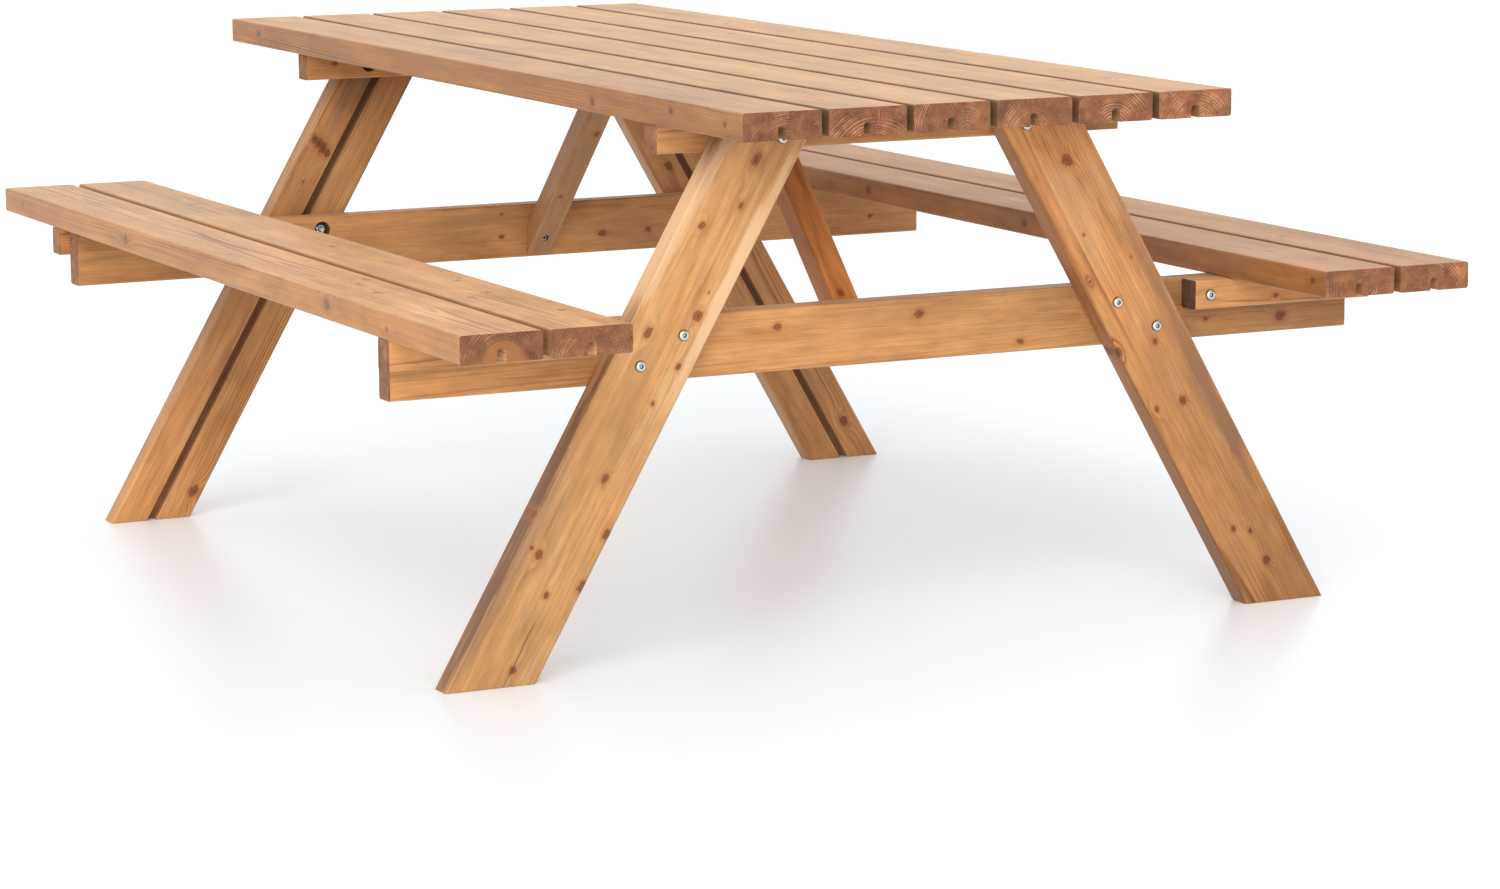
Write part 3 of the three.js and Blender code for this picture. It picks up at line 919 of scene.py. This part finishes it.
LOOKS = {
    "near_left_leg": drawn_look(
        1, pith=(14, -46), ring=4.4, lines=0.36, tint=1.02, fade=0.36, warmth=-0.03, groove=0.6,
        knots=[
            (-375, -16, 4), (-270, -11, 3.5), (-228, 24, 5), (-225, 38, 2.5), (-240, -52, 6),
            (-185, 58, 5), (-165, -50, 5), (-102, -12, 5), (12, -25, 2.5), (90, 26, 5.5),
            (69, -34, 3.5), (140, -27, 6), (173, -26, 1.5), (244, 26, 4.5), (292, -11, 4), (354, -2, 7),
        ],
        checks=[(-440, -300, -14)],
        stains=[
            # The dark patches at 338 and -190 along are painted shadow under the top and painted shade
            # below the bench; the pale one at 250 is a painted highlight.
            (-260, 46, 170, 12, 0.55, "grey"), (338, 50, 60, 9, 0.8, "dark"),
            (20, 10, 70, 16, 0.22, "grey"), (-60, 40, 60, 9, 0.25, "orange"),
            (210, -47, 190, 13, 0.75, "pale"), (250, 52, 150, 12, 0.6, "pale"),
            (-190, 58, 330, 7, 0.85, "dark"),
            (0, 0, 60, 24, 0.2, "orange"), (130, 8, 50, 20, 0.2, "orange"),
        ],
    ),
    "near_right_leg": drawn_look(
        2, pith=(46, -16), ring=2.7, lines=1.1, tint=0.86, fade=0.95, warmth=0.11,
        sides=(1.0, 0.60), groove=0.6,
        knots=[
            (-272, 20, 3.5), (-342, -3, 5), (-290, -1, 3), (-55, 41, 3), (-68, 0, 5), (48, 53, 5),
            (29, -2, 4), (157, 43, 2.5), (218, 20, 2), (320, -8, 7), (151, -27, 1.5),
        ],
        stains=[
            (-90, -42, 150, 17, 0.85, "grey"), (120, -46, 110, 14, 0.6, "grey"),
            (318, -8, 22, 12, 0.4, "orange"), (30, 4, 34, 7, 0.4, "orange"),
            (250, 14, 120, 30, 0.3, "pale"), (-20, -10, 130, 46, 0.22, "grey"),
        ],
    ),
    "far_left_leg": drawn_look(
        3, pith=(-10, 44), tint=0.75, fade=-0.5, warmth=0.06, groove=0.45,
        knots=[
            (-340, 40, 7), (230, -43, 5), (227, -34, 6), (223, -25, 6), (220, -15, 4.5), (-162, 5, 2),
            (162, -29, 2),
        ],
        stains=[(225, -30, 26, 20, 0.35, "orange"), (330, -20, 60, 30, 0.45, "dark")],
    ),
    "far_right_leg": drawn_look(
        4, pith=(12, 44), tint=0.78, warmth=0.05, groove=0.45,
        knots=[(-355, 30, 6), (185, -25, 6), (-95, -30, 4)],
    ),
    "near_rail": drawn_look(
        # Its fade lightens its left end: painted light that lifts the bench's shadow there.
        5, pith=(-60, -34), lines=0.6, tint=0.91, fade=-0.40, warmth=0.04,
        knots=[
            (-172, 17, 4.5), (40, 20, 5.5), (195, -28, 4), (298, 33, 2), (490, -17, 3), (612, -20, 6.5),
            (-560, 5, 4),
        ],
        stains=[(-172, 14, 40, 12, 0.3, "orange"), (196, -26, 40, 8, 0.3, "orange")],
    ),
    "far_rail": drawn_look(
        6, pith=(52, -30), lines=0.55, tint=0.81, warmth=0.06,
        knots=[
            (-630, 23, 4), (-632, -12, 3), (-150, -12, 5), (-230, -10, 4), (25, -8, 3), (25, 28, 2),
            (420, 12, 4),
        ],
        stains=[(-190, 0, 80, 26, 0.35, "grey"), (60, 20, 90, 14, 0.3, "grey")],
    ),
    "near_brace": drawn_look(
        7, tint=0.98, warmth=0.24, lines=0.5, sides=(1.0, 0.6),
        knots=[(95, -2, 4), (-150, 4, 5)],
        stains=[(118, 4, 12, 9, 0.8, "orange"), (60, -8, 60, 6, 0.5, "dark")],
    ),
    "far_brace": drawn_look(8, tint=0.63, warmth=0.05, knots=[(60, 8, 4), (-90, -6, 3)]),
    "near_right_seat_batten": drawn_look(
        # Its low soak darkens its sawn ends, for soaked stain and painted shade.
        9, soak=0.45, warmth=0.05,
        knots=[(-12, -8, 3), (95, 6, 4)],
        stains=[(-12, -8, 26, 8, 0.4, "orange")],
    ),
    "near_left_seat_batten": drawn_look(10, lines=1.0, warmth=0.05, knots=[(-60, 2, 3)]),
    "far_left_seat_batten": drawn_look(22, tint=0.88, warmth=0.10, knots=[(40, 5, 3)]),
    "far_top_batten": drawn_look(21, tint=0.85, warmth=0.12, knots=[(300, 5, 3)]),
    "top_plank_1": top_look(
        11, pith=(0, -40), ring=2.5, tint=0.97, warmth=-0.01, lines=1.35, sides=(0.64, 0.34),
        soak=0.9,
        knots=[
            (-160, -25, 4), (440, -42, 4), (-790, -55, 5, 2), (465, -55, 5, -3), (705, -55, 4, 4),
            (860, -55, 3, 0),
        ],
        checks=[(400, 470, -43)],
    ),
    "top_plank_2": top_look(
        12, pith=(5, -48), ring=4.0, tint=1.04, warmth=-0.03,
        knots=[(-180, -18, 4), (170, -48, 4), (180, 42, 3)],
    ),
    "top_plank_3": top_look(
        13, pith=(15, -25), tint=1.09, warmth=-0.04,
        knots=[(-225, -40, 5), (-80, 38, 4)],
        stains=[(905, 28, 12, 20, 0.7, "orange")],
    ),
    "top_plank_4": top_look(
        14, pith=(-8, -34), tint=1.05, warmth=-0.03, knots=[(470, -18, 5), (-370, -5, 4), (-640, 30, 4)]
    ),
    "top_plank_5": top_look(
        15, pith=(-5, -20), tint=1.09, warmth=-0.04, knots=[(-240, 20, 6), (705, 40, 6), (400, -20, 4)]
    ),
    "top_plank_6": top_look(
        16, pith=(0, -30), tint=1.07, warmth=-0.04, sides=(0.28, 0.7), soak=1.15,
        knots=[(215, 10, 7), (700, -10, 5), (-420, -20, 4)],
    ),
    "left_seat_plank_outer": drawn_look(
        17, pith=(2, -20), ring=3.1, tint=1.22, fade=0.12, warmth=-0.03, lines=1.5, drift=(0, 0),
        sides=(0.66, 0.55), soak=0.85, heart=34,
        knots=[
            (370, 40, 5), (415, 12, 4), (500, 4, 5), (40, -30, 4), (-330, -55, 6, 0), (470, -55, 8, 3),
            (-820, -55, 3, 2), (675, -55, 3, -4),
        ],
        checks=[(560, 640, -47), (440, 520, -42)],
    ),
    "left_seat_plank_inner": drawn_look(
        18, pith=(0, -18), ring=3.2, tint=1.17, fade=0.12, warmth=-0.04, lines=0.9,
        sides=(0.55, 0.7),
        knots=[
            (20, 8, 4), (440, 20, 4), (565, 10, 4), (600, -28, 4), (760, 28, 5), (-100, -42, 3),
            (-560, 12, 5),
        ],
        stains=[(-580, 28, 60, 8, 0.3, "grey"), (-540, 3, 50, 6, 0.3, "grey")],
    ),
    "right_seat_plank_inner": drawn_look(
        19, pith=(5, -5), ring=3.4, sides=(0.66, 0.5), tint=0.83, warmth=0.09,
        knots=[(790, 20, 4), (-375, -55, 5, 0), (115, -55, 6, 0), (880, -55, 4, 2), (690, 0, 4)],
    ),
    "right_seat_plank_outer": drawn_look(
        20, pith=(-2, -26), sides=(0.5, 0.8), tint=0.83, warmth=0.08, knots=[(760, 30, 3), (560, -14, 4)]
    ),
}


# ---------------------------------------------------------------- the table

ENDS = {"near": X, "far": -X}  # and the way that each end's outer faces look
SIDES = {"left": -1, "right": 1}
LEG_BOLTS = ("rail_lower", "rail_upper", "top_outer", "top_inner")
TOP_PLANKS = [f"top_plank_{i}" for i in range(1, 7)]
SEAT_PLANKS = [f"{side}_seat_plank_{place}" for side in SIDES for place in ("inner", "outer")]
BATTEN_SCREW_SPREAD = 28 * MM  # each side of a plank's middle
BATTEN_SCREW_STAGGER = 5 * MM  # each side of a batten's middle
BRACE_SCREW_SETBACK = 28 * MM
BRACE_SINK_DIAMETER = 10.5 * MM

seeds = iter(range(100, 200))


def look_of(node):
    return LOOKS.get(node) or drawn_look(next(seeds), knots=[(40, 5, 3)])


def middle_of(node):
    low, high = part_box(node)
    return (low + high) / 2


def make_planks():
    for node in TOP_PLANKS + SEAT_PLANKS:
        low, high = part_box(node)
        middle = (low + high) / 2
        make_timber(Timber(node, X, Z, middle, PLANK_WIDTH, (low, X), (high, X), grooved=True))


def bolt_holes(bolts, face_x, out, mouth, depth):
    """Cutters for these bolts in the face that looks out, each with a wide mouth as deep as depth."""
    hole = BOLT_HOLE_DIAMETER / 2
    profile = [(-HOLE_REACH, hole), (0, hole), (0, mouth / 2), (HOLE_REACH, mouth / 2)]
    places = [middle_of(bolt) for bolt in bolts]
    floors = [Vector((face_x, place.y, place.z)) - out * depth for place in places]
    return [placed(turned(profile), floor, out) for floor in floors]


def head_holes(bolts, face_x, outward):
    """Holes for these bolts, each with the dent of its head in the outer face."""
    return bolt_holes(bolts, face_x, outward, DENT_DIAMETER, DENT_DEPTH)


def nut_holes(bolts, face_x, outward):
    """Holes for these bolts, each with the counterbore of its nut in the inner face."""
    return bolt_holes(bolts, face_x, -outward, COUNTERBORE_DIAMETER, COUNTERBORE_DEPTH)


def screw_pocket(mouth, sunk):
    """A cutter for a countersunk screw whose axis is +Z, pointing out of the face at 0."""
    return turned(
        [
            (-HOLE_REACH, SCREW_HOLE_DIAMETER / 2),
            (-SCREW_CONE_DEPTH - sunk, SCREW_HOLE_DIAMETER / 2),
            (-sunk, mouth / 2),
            (HOLE_REACH / 2, mouth / 2),
        ],
        sides=36,
    )


def make_legs(end, outward):
    for side_name, side in SIDES.items():
        node = f"{end}_{side_name}_leg"
        low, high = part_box(node)
        along = Vector((0, -side * math.sin(LEG_TILT), math.cos(LEG_TILT)))
        outer_edge = low.y if side < 0 else high.y
        foot = outer_edge - side * PLANK_WIDTH / 2 / math.cos(LEG_TILT)
        middle = Vector(((low.x + high.x) / 2, foot, low.z))
        bolts = [f"{end}_{side_name}_{place}_bolt" for place in LEG_BOLTS]
        cutters = head_holes(bolts, middle.x + outward.x * THICKNESS / 2, outward)
        timber = Timber(node, along, outward, middle, PLANK_WIDTH, (low, Z), (high, Z), grooved=True)
        make_timber(timber, cutters)


def make_bearer(node, outward, cutters, screws=()):
    """A rail or batten along Y, with its bolt holes and the pockets of screws in its underside."""
    low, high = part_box(node)
    along = Z.cross(outward)
    first, last = (low, along), (high, along)
    if along.y < 0:
        first, last = last, first
    timber = Timber(node, along, outward, (low + high) / 2, high.z - low.z, first, last)
    mouth = SCREW_HEAD_DIAMETER + SCREW_HOLE_CLEARANCE
    pockets = [placed(screw_pocket(mouth, SCREW_SINK), point, -Z) for point in screws]
    make_timber(timber, [*cutters, *pockets])


def batten_screws(batten, planks):
    """Where the screws enter the underside of a batten, two below each plank."""
    low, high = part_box(batten)
    points = []
    for plank_node in planks:
        y = middle_of(plank_node).y
        for way in (-1, 1):
            x = (low.x + high.x) / 2 + way * BATTEN_SCREW_STAGGER
            points.append(Vector((x, y + way * BATTEN_SCREW_SPREAD, low.z)))
    return points


def make_screws(name, placings, length):
    """One piece of several screws, each placed by (point, way out of the face)."""
    draw = random.Random(len(placings))
    screws = []
    for point, out in placings:
        screws.append(placed(wood_screw(length), point - out * SCREW_SINK, out, draw.uniform(0, 1)))
    finish_piece(to_object(name, joined(screws)), SCREW_ZINC, "fastener")


def make_bearers(end, outward):
    """The rail, the top batten and the two seat battens of one end, with their screws."""
    rail, top = f"{end}_rail", f"{end}_top_batten"
    rail_bolts = [f"{end}_{s}_{b}_bolt" for s in SIDES for b in ("rail_lower", "rail_upper", "seat")]
    inner_x = middle_of(rail).x - outward.x * THICKNESS / 2
    make_bearer(rail, outward, nut_holes(rail_bolts, inner_x, outward))
    top_bolts = [f"{end}_{s}_{b}_bolt" for s in SIDES for b in ("top_outer", "top_inner")]
    under = batten_screws(top, TOP_PLANKS)
    make_bearer(top, outward, nut_holes(top_bolts, inner_x, outward), under)
    make_screws(f"{top}_screws", [(p, -Z) for p in under], BATTEN_SCREW_LENGTH)
    for side in SIDES:
        node = f"{end}_{side}_seat_batten"
        outer_x = middle_of(node).x + outward.x * THICKNESS / 2
        under = batten_screws(node, [plank for plank in SEAT_PLANKS if plank.startswith(side)])
        make_bearer(node, outward, head_holes([f"{end}_{side}_seat_bolt"], outer_x, outward), under)
        make_screws(f"{node}_screws", [(p, -Z) for p in under], BATTEN_SCREW_LENGTH)


def make_brace(end, outward):
    node = f"{end}_brace"
    low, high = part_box(node)
    tilt = BRACE_TILT
    along = -outward * math.sin(tilt) + Z * math.cos(tilt)
    through = outward * math.cos(tilt) + Z * math.sin(tilt)
    near_x, far_x = (high.x, low.x) if outward.x > 0 else (low.x, high.x)
    y = (low.y + high.y) / 2
    toe = Vector((near_x, y, low.z))
    head = Vector((far_x, y, high.z))
    middle = toe + through * THICKNESS / 2
    timber = Timber(node, along, through, middle, high.y - low.y, (toe, outward), (head, Z))
    setback = Vector((outward.x, 0, -1)) * BRACE_SCREW_SETBACK
    screws = [(toe - setback, -outward), (head + setback, -Z)]
    depth = BRACE_SINK_DIAMETER / 2 * math.tan(tilt)
    make_timber(timber, [placed(screw_pocket(BRACE_SINK_DIAMETER, depth), *s) for s in screws])
    sunk = [(point - out * depth, out) for point, out in screws]
    make_screws(f"{end}_brace_screws", sunk, BRACE_SCREW_LENGTH)


def make_bolts(end, outward):
    spin = random.Random(7 if end == "near" else 8)
    for side in SIDES:
        for place in (*LEG_BOLTS, "seat"):
            node = f"{end}_{side}_{place}_bolt"
            low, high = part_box(node)
            centre = (low + high) / 2
            reach = (high.x - low.x) / 2
            seat = centre + outward * (reach - HEAD_HEIGHT)
            length = 2 * reach - HEAD_HEIGHT
            bolt = to_object(node, placed(button_bolt(length), seat, outward, spin.uniform(0, 1)))
            finish_piece(bolt, BOLT_ZINC, "fastener", node)
            nut_node = node.replace("_bolt", "_nut")
            if place == "seat":
                rail = middle_of(f"{end}_rail")
                back = rail.x + outward.x * (COUNTERBORE_DEPTH - THICKNESS / 2)
            else:
                nut_low, nut_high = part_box(nut_node)
                back = nut_high.x if outward.x > 0 else nut_low.x
            face = Vector((back, centre.y, centre.z))
            nut = to_object(nut_node, placed(hexagon_nut(), face, -outward, spin.uniform(0, 1)))
            finish_piece(nut, BOLT_ZINC, "fastener", node if place == "seat" else nut_node)


BOLT_ZINC = zinc("bolt_zinc", BRIGHT_ZINC, 0.32)
SCREW_ZINC = zinc("screw_zinc", YELLOWED_ZINC, 0.40)

make_camera()
make_lights()
make_floor()
make_planks()
for end, outward in ENDS.items():
    make_legs(end, outward)
    make_bearers(end, outward)
    make_brace(end, outward)
    make_bolts(end, outward)
